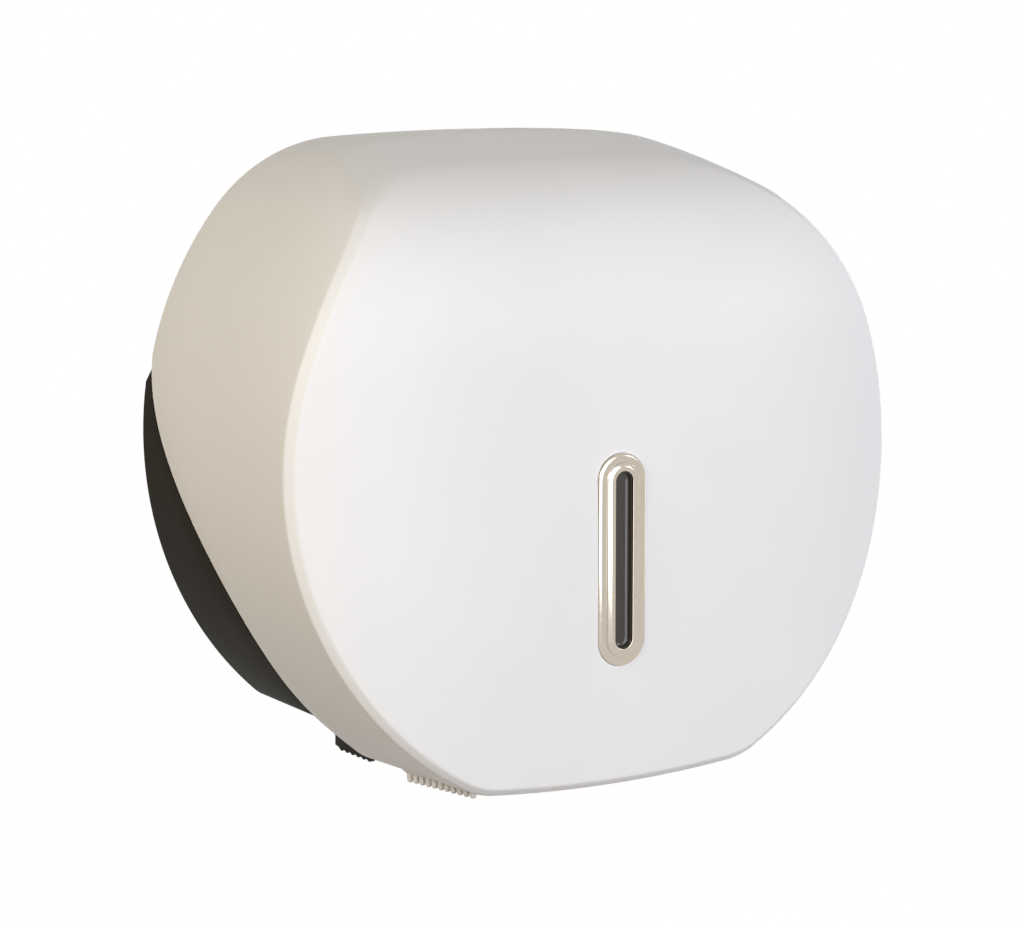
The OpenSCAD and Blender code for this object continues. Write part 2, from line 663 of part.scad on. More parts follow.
module core_hub() color("lightgray") from_bottom() at_spindle() {
    y1 = flange_y + hub_gap;
    y2 = post_y - hub_gap;
    bore = post_d + 2 * hub_clear;
    difference() {
        union() {
            rod_y(hub_flange_d, y1, y1 + 3);
            rod_y(hub_d, y1, y2);
        }
        rod_y(hub_d - 5, y1 + 3, y2 + 1);
        rod_y(bore, y1 - 1, y2 + 1);
    }
    difference() {
        union() {
            rod_y(post_d + 5, y1, y2);
            for (a = [0 : 60 : 300]) rotate([0, -a, 0])
                translate([post_d / 2 + 1, -y2 + 1, -1]) cube([hub_d / 2 - post_d / 2 - 2, y2 - y1 - 2, 2]);
        }
        rod_y(bore, y1 - 1, y2 + 1);
    }
}

module hub_washer() color("gray") from_bottom() at_spindle() difference() {
    rod_y(post_d + 10, post_y, post_y + washer_t);
    rod_y(5.4, post_y - 1, post_y + washer_t + 1);
}

module hub_screw() color("silver") from_bottom() at_spindle() difference() {
    union() {
        rod_y(4.9, post_y - 18, post_y + washer_t + 1);
        rod_y(9.5, post_y + washer_t, post_y + washer_t + 3.5);
    }
    for (a = [0, 90]) slab(post_y + washer_t + 2, post_y + washer_t + 5)
        rotate(a) square([hub_cross_w, hub_cross_l], center = true);
}

// ---- lock

module lock_housing() color("silver") from_bottom() at_lock() difference() {
    union() {
        rod_x(lock_head_d, spot_x, spot_x + head_t);
        rod_x(lock_d, housing_end_x, spot_x + 1);
    }
    rod_x(barrel_d + 2 * barrel_clear, housing_end_x - 1, spot_x + head_t + 1);
}

module lock_barrel() color("silver") from_bottom() at_lock() difference() {
    union() {
        rod_x(barrel_d, barrel_end_x, spot_x + head_t + 0.6);
        rod_x(stub_d, cam_x + 0.2, barrel_end_x + 1);
    }
    translate([spot_x + head_t - 1.4, -0.6, -2.6]) cube([3, 1.2, 5.2]);
    rod_x(3 + screw_fit, cam_x - 1, cam_x + 9);
}

module lock_nut() color("silver") from_bottom() at_lock() difference() {
    plank(boss_x - nut_t, boss_x) circle(d = nut_w / cos(30), $fn = 6);
    rod_x(lock_d + 2 * screw_fit, boss_x - nut_t - 1, boss_x + 1);
}

module lock_cam() color("silver") from_bottom() at_lock() difference() {
    union() {
        rod_x(cam_w, cam_x, cam_x + cam_t);
        translate([cam_x, 0, -cam_w / 2]) cube([cam_t, cam_l, cam_w]);
    }
    rod_x(stub_d + screw_fit, cam_x - 1, cam_x + cam_t + 1);
}

module cam_screw() color("silver") from_bottom() at_lock() difference() {
    union() {
        rod_x(3, cam_x - 0.5, cam_x + 8);
        rod_x(screw_head_d, cam_x - 2, cam_x);
    }
    translate([cam_x - 3, -0.5, -2.5]) cube([2, 1, 5]);
}

module lock_keeper() color("silver") from_bottom() difference() {
    union() {
        slab(keeper_pad_y, keeper_lip_y + keeper_t) translate([keeper_x, keeper_leg_h])
            square([keeper_w, keeper_t]);
        slab(keeper_pad_y, keeper_pad_y + keeper_t) translate([keeper_x, keeper_leg_h])
            square([keeper_w, keeper_foot_l]);
        slab(keeper_lip_y, keeper_lip_y + keeper_t) translate([keeper_x, keeper_leg_h - cam_l / 2 - 1])
            square([keeper_w, cam_l / 2 + 1 + keeper_t]);
    }
    at_keeper_screws() rod_y(screw_thread_d + 0.5, keeper_pad_y - 1, keeper_pad_y + keeper_t + 1);
}

module keeper_screws() color("silver") from_bottom() at_keeper_screws() {
    head_y = keeper_pad_y + keeper_t;
    difference() {
        union() {
            rod_y(screw_thread_d, 2, head_y + 0.5);
            rod_y(screw_head_d, head_y, head_y + 2.2);
        }
        slab(head_y + 1, head_y + 3) square([1, 4.6], center = true);
        slab(head_y + 1, head_y + 3) square([4.6, 1], center = true);
    }
}

base_plate();
base_comb_left();
base_comb_right();
cover();
cover_comb_left();
cover_comb_right();
window_frame();
window_lens();
window_retainer();
lock_housing();
lock_barrel();
lock_nut();
lock_cam();
cam_screw();
lock_keeper();
keeper_screws();
spindle_post();
spindle_screws();
core_hub();
hub_washer();
hub_screw();
hinge_pin_left();
hinge_pin_right();
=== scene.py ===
"""Wall dispenser for one jumbo toilet roll: a white cover over a dark base, with a level window."""
import math

import bmesh
import bpy
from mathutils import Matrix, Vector


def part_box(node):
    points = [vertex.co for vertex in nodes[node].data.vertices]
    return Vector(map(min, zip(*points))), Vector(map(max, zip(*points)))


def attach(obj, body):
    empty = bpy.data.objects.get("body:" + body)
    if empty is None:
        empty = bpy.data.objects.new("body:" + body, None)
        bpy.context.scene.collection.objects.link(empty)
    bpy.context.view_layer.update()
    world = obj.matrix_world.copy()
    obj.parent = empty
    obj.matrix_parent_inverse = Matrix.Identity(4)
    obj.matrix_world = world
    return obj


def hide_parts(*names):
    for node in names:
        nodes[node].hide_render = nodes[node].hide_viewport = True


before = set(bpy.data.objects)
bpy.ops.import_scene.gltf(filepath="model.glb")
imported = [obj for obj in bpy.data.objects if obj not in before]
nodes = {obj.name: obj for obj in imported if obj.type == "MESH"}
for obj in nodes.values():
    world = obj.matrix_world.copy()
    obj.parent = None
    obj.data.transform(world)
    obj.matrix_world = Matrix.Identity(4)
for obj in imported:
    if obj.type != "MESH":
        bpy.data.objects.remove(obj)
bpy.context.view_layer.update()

# ---------------------------------------------------------------- cover
# One deep injection-moulded shell of white ABS, 3 mm thick, with a crowned front that rolls
# over into the top. It closes on the base along a curved line and turns down about two pins.

# Sizes are in millimetres. Heights count from the cover's bottom edge, depths from the wall,
# and y is negative in front of the wall.
MM = 0.001
AXIS_H = 116.0  # the frame's origin
MIDDLE_H = 123.5  # the widest place of the front
CROWN_R = 1040.0  # radius of the nearly flat top
TURN = math.radians(47)  # where the arc of the lower side ends
BOTTOM_W = 59.5
CORNER = 6.0
BOW = 3.0
# steps of an outline, from its top middle down to its bottom middle
STEPS = dict(top=12, shoulder=22, upper=18, lower=26, corner=6, bottom=8)
WALL_LINE = dict(half_w=131, top=241, mid=128, shoulder=72, upper=135, lower=142, low=-4.6)
FRONT_LINE = dict(half_w=135, top=236.5, mid=MIDDLE_H, shoulder=66, upper=129, lower=134, low=0.0)
FACE_Y, FACE_LEAN = 138.5, 0.036
SIDE_FALL, SIDE_POWER, END_FALL = 11, 3.9, 6  # how far the face falls off at its sides and ends
ROLL_H = 155  # from here the face rolls over into the top
BULGE = 4.7
BULGE_PEAK = 27 / 4  # brings t * t * (1 - t) to 1 at its highest
BEVEL = 2.7
COVER_WALL = 3.0
SKIRT_Y = 56.0
SKIRT_DEEP_H = 50.0
SKIRT_END_H = 172.0
FLOOR_Y = 46.0
GAP = 0.8
WALL_GAP = 1.5


def lerp(a, b, t):
    """Value between a and b, t of the way along."""
    return a + (b - a) * t


def ramp(value, start, span):
    """0 up to the start, 1 from a span further on, and straight in between."""
    return min(1.0, max(0.0, (value - start) / span))


def arc(cx, cz, r, a0, a1, n):
    """Points of an arc, its end left out."""
    turns = [lerp(a0, a1, i / n) for i in range(n)]
    return [(cx + r * math.cos(a), cz + r * math.sin(a)) for a in turns]


def meet(x1, z1, r1, x2, z2, r2):
    """Right meeting point of two circles."""
    d = math.hypot(x2 - x1, z2 - z1)
    ux, uz = (x2 - x1) / d, (z2 - z1) / d
    a = (r1 * r1 - r2 * r2 + d * d) / (2 * d)
    h = math.sqrt(max(0.0, r1 * r1 - a * a))
    one = (x1 + a * ux - h * uz, z1 + a * uz + h * ux)
    two = (x1 + a * ux + h * uz, z1 + a * uz - h * ux)
    return one if one[0] > two[0] else two


def rounded(start, corner, end, t):
    """Point of a round between two points, t of the way along."""
    w = ((1 - t) ** 2, 2 * t * (1 - t), t * t)
    return tuple(w[0] * a + w[1] * b + w[2] * c for a, b, c in zip(start, corner, end))


def lower_side(line, length, inset):
    """Point of the side below the widest place: an arc, then a tail to the bottom corner."""
    r, mid = line["lower"], line["mid"]
    cx = line["half_w"] - r
    px, pz = cx + r * math.cos(TURN), mid - r * math.sin(TURN)
    dx, dz = BOTTOM_W - px, line["low"] + BOW - pz
    span, lean = math.hypot(dx, dz), math.atan2(-dx, -dz) - TURN
    if length < r * TURN:
        return cx + (r - inset) * math.cos(length / r), mid - (r - inset) * math.sin(length / r)
    u = (length - r * TURN) / span
    run = u if abs(lean) < 1e-4 else math.sin(lean * u) / math.sin(lean)
    middle, end = TURN + lean * u, TURN + 2 * lean * u
    return (px - span * run * math.sin(middle) - inset * math.cos(end),
            pz - span * run * math.cos(middle) + inset * math.sin(end))


def outline(line, inset=0.0, low=None, bow=BOW):
    """Closed outline of the body, clockwise from the top middle as seen from the front."""
    low = (line["low"] if low is None else low) + inset
    w, top, mid = line["half_w"] - inset, line["top"] - inset, line["mid"]
    rt, rs, ru = CROWN_R - inset, line["shoulder"] - inset, line["upper"] - inset
    sx, sz = meet(0, top - rt, rt - rs, w - ru, mid, ru - rs)
    a_top = math.atan2(sz - (top - rt), sx)
    a_side = math.atan2(sz - mid, sx - (w - ru))
    short, long = 0.0, 2 * line["lower"]
    for _ in range(30):
        end = (short + long) / 2
        short, long = (end, long) if lower_side(line, end, inset)[1] > low + bow else (short, end)
    px, pz = lower_side(line, end, inset)
    ax, az = lower_side(line, end - CORNER, inset)
    bx = px - CORNER
    bz = low + bow * (bx / px) ** 2
    half = arc(0, top - rt, rt, math.pi / 2, a_top, STEPS["top"])
    half += arc(sx, sz, rs, a_top, a_side, STEPS["shoulder"])
    half += arc(w - ru, mid, ru, a_side, 0, STEPS["upper"])
    for i in range(STEPS["lower"]):
        half.append(lower_side(line, (end - CORNER) * i / STEPS["lower"], inset))
    for i in range(STEPS["corner"] + 1):
        half.append(rounded((ax, az), (px, pz), (bx, bz), i / STEPS["corner"]))
    for i in range(1, STEPS["bottom"] + 1):
        x = bx * (1 - i / STEPS["bottom"])
        half.append((x, low + bow * (x / px) ** 2))
    return half + [(-x, z) for x, z in half[-2:0:-1]]


def face_depth(x, h, inset=0.0):
    """Depth of the crowned front at x and height h."""
    roll = ramp(h, ROLL_H, WALL_LINE["top"] - inset - ROLL_H)
    side_fall = SIDE_FALL * (abs(x) / WALL_LINE["half_w"]) ** SIDE_POWER
    fall = side_fall + END_FALL * (1 - h / MIDDLE_H) ** 2
    return (FACE_Y - inset - FACE_LEAN * h - fall) * max(0.0, 1 - roll**3) ** (1 / 3)


def seam(h):
    """Depth of the line along which cover and base meet."""
    if h > SKIRT_END_H:
        return 0.0
    y = SKIRT_Y * math.cos(math.pi / 2 * (h - SKIRT_DEEP_H) / (SKIRT_END_H - SKIRT_DEEP_H)) ** 2
    return max(FLOOR_Y + GAP, y) if h < SKIRT_DEEP_H else y


def seam_depths(back, front, edge):
    """Depth of that line at each point of the outlines."""
    depths = []
    for (_, back_h), (_, front_h), e in zip(back, front, edge):
        depths.append(seam(lerp(back_h, front_h, seam(back_h) / e)))
    return depths


def side_ring(back, front, edge, depths):
    """Ring on the side between a wall outline and a front outline, at a depth for each point."""
    ring = []
    for (bx, bz), (fx, fz), e, y in zip(back, front, edge, depths):
        t = y / e
        x, z = lerp(bx, fx, t), lerp(bz, fz, t)
        r = math.hypot(x, z - MIDDLE_H)
        out = BULGE * BULGE_PEAK * t * t * (1 - t) * max(0.0, (z - MIDDLE_H) / r)
        ring.append((x + x / r * out, -y, z + (z - MIDDLE_H) / r * out))
    return ring


def corner_rings(one, corner, two, steps):
    """Rings that round off a corner between two rings."""
    rings = []
    for k in range(1, steps):
        rings.append([rounded(p, q, r, k / steps) for p, q, r in zip(one, corner, two)])
    return rings


def mixed(one, two, shares):
    """Ring between two rings, with its own share for each point."""
    return [tuple(lerp(a, b, s) for a, b in zip(p, q)) for p, q, s in zip(one, two, shares)]


def face_ring(line, share, inset=0.0, drop=0.0):
    """Ring on the front, a share of the way out from its middle."""
    ring = []
    for x, z in line:
        qx, qz = x * share, MIDDLE_H + (z - MIDDLE_H) * share
        ring.append((qx, drop - face_depth(qx, qz, inset), qz))
    return ring


def deselect():
    """Leaves edit mode and selects nothing."""
    if bpy.context.object and bpy.context.object.mode != "OBJECT":
        bpy.ops.object.mode_set(mode="OBJECT")
    bpy.ops.object.select_all(action="DESELECT")


def in_frame(x, y, h):
    """The frame's coordinates, in metres, of a point at height h."""
    return x * MM, y * MM, (h - AXIS_H) * MM


def place(mesh, points):
    """Puts the selected corners on (x, y, height) points, by their number in the ring."""
    number = mesh.verts.layers.int["number"]
    for v in mesh.verts:
        if v.select:
            v.co = in_frame(*points[v[number]])


def loft(name, rings, closed=False):
    """A skin through rings of points: a circle is laid on the first and extruded on from there.

    Its two ends are filled, or joined to each other if it is closed.
    """
    deselect()
    bpy.ops.mesh.primitive_circle_add(vertices=len(rings[0]))
    piece = bpy.context.object
    piece.name = piece.data.name = name
    bpy.ops.object.mode_set(mode="EDIT")
    bpy.ops.mesh.select_mode(type="EDGE")
    mesh = bmesh.from_edit_mesh(piece.data)
    number = mesh.verts.layers.int.new("number")
    for v in mesh.verts:
        v[number] = v.index
    place(mesh, rings[0])
    for ring in rings[1:]:
        bpy.ops.mesh.extrude_region_move()
        place(bmesh.from_edit_mesh(piece.data), ring)
    bmesh.update_edit_mesh(piece.data)
    bpy.ops.mesh.select_all(action="DESELECT")
    bpy.ops.mesh.select_non_manifold()
    if closed:
        bpy.ops.mesh.bridge_edge_loops()
    else:
        bpy.ops.mesh.edge_face_add()
        bpy.ops.mesh.poke()
    bpy.ops.mesh.select_all(action="SELECT")
    bpy.ops.mesh.normals_make_consistent(inside=False)
    mesh = bmesh.from_edit_mesh(piece.data)
    mesh.verts.layers.int.remove(mesh.verts.layers.int["number"])
    bpy.ops.object.mode_set(mode="OBJECT")
    return piece


def slab(name, points, along, bevel=0.0):
    """A flat outline of (x, y, height) points, filled and extruded along a vector."""
    deselect()
    bpy.ops.mesh.primitive_circle_add(vertices=len(points), fill_type="NGON")
    piece = bpy.context.object
    piece.name = piece.data.name = name
    bpy.ops.object.mode_set(mode="EDIT")
    mesh = bmesh.from_edit_mesh(piece.data)
    for v in mesh.verts:
        v.co = in_frame(*points[v.index])
    bmesh.update_edit_mesh(piece.data)
    way = tuple(c * MM for c in along)
    bpy.ops.mesh.extrude_region_move(TRANSFORM_OT_translate={"value": way})
    bpy.ops.mesh.select_all(action="SELECT")
    bpy.ops.mesh.normals_make_consistent(inside=False)
    if bevel:
        bpy.ops.mesh.bevel(offset=bevel * MM, segments=2)
    bpy.ops.object.mode_set(mode="OBJECT")
    return piece


def rod(name, d, start, end, bevel=0.0, sides=64):
    """A round bar between two (x, y, height) points."""
    deselect()
    one, two = (Vector((p[0], p[1], p[2] - AXIS_H)) * MM for p in (start, end))
    turn = (two - one).to_track_quat("Z", "Y").to_euler()
    bpy.ops.mesh.primitive_cylinder_add(
        vertices=sides, radius=d / 2 * MM, depth=(two - one).length,
        location=(one + two) / 2, rotation=turn)
    piece = bpy.context.object
    piece.name = piece.data.name = name
    bpy.ops.object.transform_apply(location=True, rotation=True, scale=True)
    if bevel:
        bpy.ops.object.mode_set(mode="EDIT")
        bpy.ops.mesh.select_mode(type="EDGE")
        bpy.ops.mesh.select_all(action="DESELECT")
        mesh = bmesh.from_edit_mesh(piece.data)
        for e in mesh.edges:
            e.select_set(e.calc_face_angle(0) > 1)
        bmesh.update_edit_mesh(piece.data)
        bpy.ops.mesh.bevel(offset=bevel * MM, segments=3)
        bpy.ops.object.mode_set(mode="OBJECT")
    return piece


def combine(piece, tool, operation="DIFFERENCE", keep=False):
    """Takes the tool's shape out of the piece, or adds it."""
    deselect()
    bpy.context.view_layer.objects.active = piece
    piece.select_set(True)
    bpy.ops.object.modifier_add(type="BOOLEAN")
    modifier = piece.modifiers[-1]
    modifier.operation = operation
    modifier.solver = "EXACT"
    modifier.object = tool
    bpy.ops.object.modifier_apply(modifier=modifier.name)
    if not keep:
        bpy.data.objects.remove(tool)


def mirrored(piece, name):
    """A copy of the piece on the other side."""
    deselect()
    piece.select_set(True)
    bpy.context.view_layer.objects.active = piece
    bpy.ops.object.duplicate()
    twin = bpy.context.object
    twin.name = twin.data.name = name
    twin.scale = (-1, 1, 1)
    bpy.ops.object.transform_apply(location=False, rotation=False, scale=True)
    bpy.ops.object.mode_set(mode="EDIT")
    bpy.ops.mesh.select_all(action="SELECT")
    bpy.ops.mesh.normals_make_consistent(inside=False)
    bpy.ops.object.mode_set(mode="OBJECT")
    return twin


def smooth(piece, angle=32):
    """Shades the piece smooth, but for edges that turn by more than the angle."""
    deselect()
    piece.select_set(True)
    bpy.context.view_layer.objects.active = piece
    bpy.ops.object.shade_smooth_by_angle(angle=math.radians(angle))


def stadium(width, length, y, middle_h, steps=16):
    """Ring of a slot with round ends, upright in x and height, at depth y."""
    ring = []
    for k in range(4 * steps):
        a = math.pi * ((k + 0.5) / (2 * steps) - 0.5)
        x, z = width / 2 * math.cos(a), width / 2 * math.sin(a)
        ring.append((x, -y, middle_h + z + math.copysign((length - width) / 2, z)))
    return ring


def new_material(name):
    """A new material, with its tree and its shader."""
    made = bpy.data.materials.new(name)
    made.use_nodes = True
    return made, made.node_tree, made.node_tree.nodes["Principled BSDF"]


def add_node(tree, kind, values=None):
    """A new shader node with some of its inputs set."""
    made = tree.nodes.new("ShaderNode" + kind)
    for key, value in (values or {}).items():
        made.inputs[key].default_value = value
    return made


def vary(tree, noise, colour, darkest, roughness, spread, span=(0.0, 1.0)):
    """Lets the noise vary colour and gloss, over the span of its values."""
    shader = tree.nodes["Principled BSDF"]
    tone = add_node(tree, "ValToRGB")
    for element, position, share in zip(tone.color_ramp.elements, span, (darkest, 1)):
        element.position = position
        element.color = (*[c * share for c in colour], 1)
    gloss = add_node(tree, "MapRange", {
        "From Min": span[0], "From Max": span[1],
        "To Min": roughness * (1 - spread), "To Max": roughness * (1 + spread)})
    tree.links.new(noise.outputs["Fac"], tone.inputs["Fac"])
    tree.links.new(noise.outputs["Fac"], gloss.inputs["Value"])
    tree.links.new(tone.outputs["Color"], shader.inputs["Base Color"])
    tree.links.new(gloss.outputs["Result"], shader.inputs["Roughness"])


def emboss(tree, noise, strength, distance):
    """Lets the noise raise the surface a little."""
    relief = add_node(tree, "Bump", {"Strength": strength, "Distance": distance})
    tree.links.new(noise.outputs["Fac"], relief.inputs["Height"])
    tree.links.new(relief.outputs["Normal"], tree.nodes["Principled BSDF"].inputs["Normal"])


def plastic(name, colour, roughness, specular=0.3, grain=900.0, bump=0.05, mottle=0.03):
    """Moulded plastic: a fine grain in the skin, and slow, faint changes of tone and gloss."""
    made, tree, shader = new_material(name)
    shader.inputs["Specular IOR Level"].default_value = specular
    where = add_node(tree, "TexCoord")
    slow = add_node(tree, "TexNoise", {"Scale": 14.0, "Detail": 3.0})
    fine = add_node(tree, "TexNoise", {"Scale": grain, "Detail": 4.0})
    for noise in (slow, fine):
        tree.links.new(where.outputs["Object"], noise.inputs["Vector"])
    vary(tree, slow, colour, 1 - mottle, roughness, 0.1, span=(0.3, 0.7))
    emboss(tree, fine, bump, 0.0002)
    return made


def dress(piece, material):
    """Gives the piece one material."""
    piece.data.materials.clear()
    piece.data.materials.append(material)


back, front = outline(WALL_LINE), outline(FRONT_LINE)
back_in, front_in = outline(WALL_LINE, COVER_WALL), outline(FRONT_LINE, COVER_WALL)
edge = [face_depth(x, z) - BEVEL for x, z in front]
rear = [max(WALL_GAP, y) for y in seam_depths(back, front, edge)]

# how far along the face, the side and its inner face the rings lie
FACE_SHARES = (0.04, 0.1, 0.2, 0.32, 0.44, 0.55, 0.65, 0.73,
               0.8, 0.86, 0.905, 0.94, 0.965, 0.985, 1.0)
SIDE_SHARES = (0.08, 0.2, 0.34, 0.5, 0.66, 0.82)
INSIDE_SHARES = (0.25, 0.5, 0.75, 0.95)
ROUND, ROUND_STEPS = 0.75, 5
SOFT = ROUND * 0.8  # how far the rounds at its two edges reach into the bevel
RIM_ROUND, RIM_ROUND_IN, RIM_STEPS = 0.6, 0.4, 3
RIM_WALL = COVER_WALL - RIM_ROUND_IN
face_line = outline(FRONT_LINE, BEVEL + ROUND)
face_edge = face_ring(face_line, 1)
face_corner = face_ring(outline(FRONT_LINE, BEVEL), 1)
bevel_in = face_ring(outline(FRONT_LINE, BEVEL - SOFT), 1, drop=SOFT)
bevel_out = face_ring(outline(FRONT_LINE, SOFT), 1, drop=BEVEL - SOFT)
outer_corner = side_ring(back, front, edge, edge)
side_front = side_ring(back, front, edge, [e - ROUND for e in edge])
rim_out = side_ring(back, front, edge, [y + RIM_ROUND for y in rear])
rim_corner = side_ring(back, front, edge, rear)
rim = side_ring(outline(WALL_LINE, RIM_ROUND), outline(FRONT_LINE, RIM_ROUND), edge, rear)
rim_in = side_ring(outline(WALL_LINE, RIM_WALL), outline(FRONT_LINE, RIM_WALL), edge, rear)
inner_rim = side_ring(back_in, front_in, edge, [y + RIM_ROUND_IN for y in rear])

rings = [face_ring(face_line, share) for share in FACE_SHARES]
rings += corner_rings(face_edge, face_corner, bevel_in, ROUND_STEPS) + [bevel_in, bevel_out]
rings += corner_rings(bevel_out, outer_corner, side_front, ROUND_STEPS) + [side_front]
face_end, bevel_end = len(FACE_SHARES) - 1, len(rings) - 1
for t in SIDE_SHARES:
    depths = [lerp(e - ROUND, y + RIM_ROUND, t) for e, y in zip(edge, rear)]
    rings.append(side_ring(back, front, edge, depths))
# over the top the bevel fades out, and the front runs into the top in one soft curve
FADE_H, FADE_SPAN, FADE_RINGS = 219, 15, 3
fade = [ramp(z, FADE_H, FADE_SPAN) for _, z in front]
top, steps = rings[bevel_end + FADE_RINGS], bevel_end + FADE_RINGS - face_end
soft_rings = corner_rings(rings[face_end], face_ring(front, 1), top, steps)
for k, ring in enumerate(soft_rings, face_end + 1):
    rings[k] = mixed(rings[k], ring, fade)
rings += [rim_out] + corner_rings(rim_out, rim_corner, rim, RIM_STEPS) + [rim, rim_in, inner_rim]
for t in INSIDE_SHARES:
    depths = [lerp(y, e - COVER_WALL, t) for e, y in zip(edge, rear)]
    rings.append(side_ring(back_in, front_in, edge, depths))
rings += [face_ring(front_in, share, inset=COVER_WALL) for share in FACE_SHARES[::-1]]
cover = loft("cover_shell", rings)

# the paper slot, the window's seat and hole, and the lock's boss, seat and hole
SLOT_REAR_X, SLOT_FRONT_Y, RIB_ROOM, SLOT_CUT = BOTTOM_W, 126.2, 0.6, 12
TAPER = math.radians(2.6)


def slot_x(y):
    """Half the width of the paper slot at depth y."""
    return SLOT_REAR_X - (y - FLOOR_Y) * math.tan(TAPER)


slot_side = [(slot_x(SLOT_FRONT_Y) + RIB_ROOM, -SLOT_FRONT_Y),
             (SLOT_REAR_X + RIB_ROOM, -FLOOR_Y), (SLOT_REAR_X + RIB_ROOM, -FLOOR_Y + GAP)]
slot_points = [(-x, y, -SLOT_CUT) for x, y in slot_side[::-1]]
slot_points += [(x, y, -SLOT_CUT) for x, y in slot_side]
combine(cover, slab("paper_slot", slot_points, (0, 0, 2 * SLOT_CUT)))

WINDOW_H, SEAT_Y, BEZEL_W, BEZEL_L, SEAT_FIT = 87.0, 133.6, 21.0, 81.0, 0.2
HOLE_W, HOLE_L, INSIDE_Y, OUTSIDE_Y = 13.2, 72.9, 120, 140
for name, width, length, start in (
        ("window_seat", BEZEL_W + SEAT_FIT, BEZEL_L + SEAT_FIT, SEAT_Y),
        ("window_hole", HOLE_W, HOLE_L, INSIDE_Y)):
    cut = [stadium(width, length, y, WINDOW_H) for y in (start, OUTSIDE_Y)]
    combine(cover, loft(name, cut))

LOCK_Y, LOCK_H, INSIDE_X, OUTSIDE_X = 42.0, 126.0, 115, 140
BOSS_D, LOCK_SEAT_D, LOCK_HOLE_D = 24, 19, 14.2
seat_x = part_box("lock_housing")[1][0] / MM - 2
for name, d, start, end, operation in (
        ("lock_boss", BOSS_D, seat_x - 5, seat_x - 1, "UNION"),
        ("lock_seat", LOCK_SEAT_D, seat_x, OUTSIDE_X, "DIFFERENCE"),
        ("lock_hole", LOCK_HOLE_D, INSIDE_X, OUTSIDE_X, "DIFFERENCE")):
    combine(cover, rod(name, d, (start, -LOCK_Y, LOCK_H), (end, -LOCK_Y, LOCK_H)), operation)

# the rails that the front combs are pegged to, and the blocks that hold the hinge pins
FRONT_COMB_Y, BAR_H, RAIL_T, RAIL_UP, RAIL_OVER = 74.0, 6.0, 6, 0.7, 1.3
FRONT_TILT = math.radians(4.6)
rail_rings = []
for y, foot in ((FRONT_COMB_Y - 1, 6.6), (SLOT_FRONT_Y + 2, 6.4)):
    x = slot_x(y)
    low = (y - FRONT_COMB_Y) * math.sin(FRONT_TILT) + RAIL_UP
    high = low + BAR_H + RAIL_OVER
    rail_rings.append([(x, -y, low), (x, -y, high), (x + RAIL_T, -y, high), (x + RAIL_T, -y, foot)])
rail = loft("comb_rail", rail_rings)
BLOCK_Y, BLOCK_T = 46.8, 9.2
block_side = ((58.6, 5.0), (63.5, 6.0), (71.5, 14.0), (58.6, 14.0))
block = slab("hinge_block", [(x, -BLOCK_Y, h) for x, h in block_side], (0, -BLOCK_T, 0))
for extra in (mirrored(rail, "comb_rail_left"), mirrored(block, "hinge_block_left"), rail, block):
    combine(cover, extra, "UNION")

white = plastic("white_abs", (0.86, 0.852, 0.843), 0.38, specular=0.1)
smooth(cover)
dress(cover, white)
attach(cover, "cover")
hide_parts("cover")

# ---------------------------------------------------------------- base
# The dark half that is screwed to the wall: a flat panel with a deep skirt at its lower sides,
# a floor, and a tongue that the cover closes over. Moulded in charcoal ABS.

PANEL, PANEL_ROOT = 3.0, -2  # what stands on the panel begins inside it
TONGUE, TONGUE_Y, TONGUE_MIN = 2.4, 8.0, 0.5
FLOOR_H = 18.5
SKIRT_MIN, BRIM_ROUND = 1.0, 0.5
TONGUE_FROM, TONGUE_SPAN = 10, 20  # heights above the floor over which the tongue grows
SHOWN_SPAN = 3  # depth over which the skirt comes out from behind the cover
DEEP_FROM, DEEP_SPAN = 8, 8  # depths over which its inner face moves out from the tongue's
STEP_START, STEP_END = 5, 2  # behind the brim, where the wall steps in to the tongue
LEDGE = 0.6  # how far the brim stands out from the tongue where the cover hides it
CENTRE = 0.05  # size of the innermost rings, where the two ends are filled
# insets from the cover's outer face
OUT, ROUNDED, INNER, HIDDEN = 0.0, BRIM_ROUND, COVER_WALL, COVER_WALL + GAP - LEDGE
TONGUE_OUT, TONGUE_IN = COVER_WALL + GAP, COVER_WALL + GAP + TONGUE
base_lines = {}
for inset in (OUT, ROUNDED, INNER, HIDDEN, TONGUE_OUT, TONGUE_IN):
    base_lines[inset] = [outline(line, inset, FLOOR_H, 0) for line in (WALL_LINE, FRONT_LINE)]
base_edge = [face_depth(x, z) - BEVEL for x, z in base_lines[OUT][1]]
skirt = [max(SKIRT_MIN, y - GAP) for y in seam_depths(*base_lines[OUT], base_edge)]
reach = []
for _, h in base_lines[OUT][0]:
    reach.append(lerp(TONGUE_MIN, TONGUE_Y, ramp(h - FLOOR_H, TONGUE_FROM, TONGUE_SPAN)))
shown = [ramp(y, SKIRT_MIN, SHOWN_SPAN) for y in skirt]
deep = [ramp(y, DEEP_FROM, DEEP_SPAN) for y in skirt]


def join(*pieces):
    """Makes the pieces one object, under the first one's name."""
    deselect()
    for piece in pieces:
        piece.select_set(True)
    bpy.context.view_layer.objects.active = pieces[0]
    bpy.ops.object.join()
    return pieces[0]


def base_ring(inset, depths):
    """Ring of the base at an inset."""
    return side_ring(*base_lines[inset], base_edge, depths)


def skirt_ring(depths, inset=OUT):
    """Ring at the inset where the skirt shows, and behind the cover's wall where it doesn't."""
    return mixed(base_ring(HIDDEN, depths), base_ring(inset, depths), shown)


def inner_ring(depths):
    """Ring inside the skirt where that is deep, and inside the tongue elsewhere."""
    return mixed(base_ring(TONGUE_IN, depths), base_ring(INNER, depths), deep)


def shrunk(ring, share):
    """A ring drawn in towards the roll's axis."""
    return [(x * share, y, AXIS_H + (z - AXIS_H) * share) for x, y, z in ring]


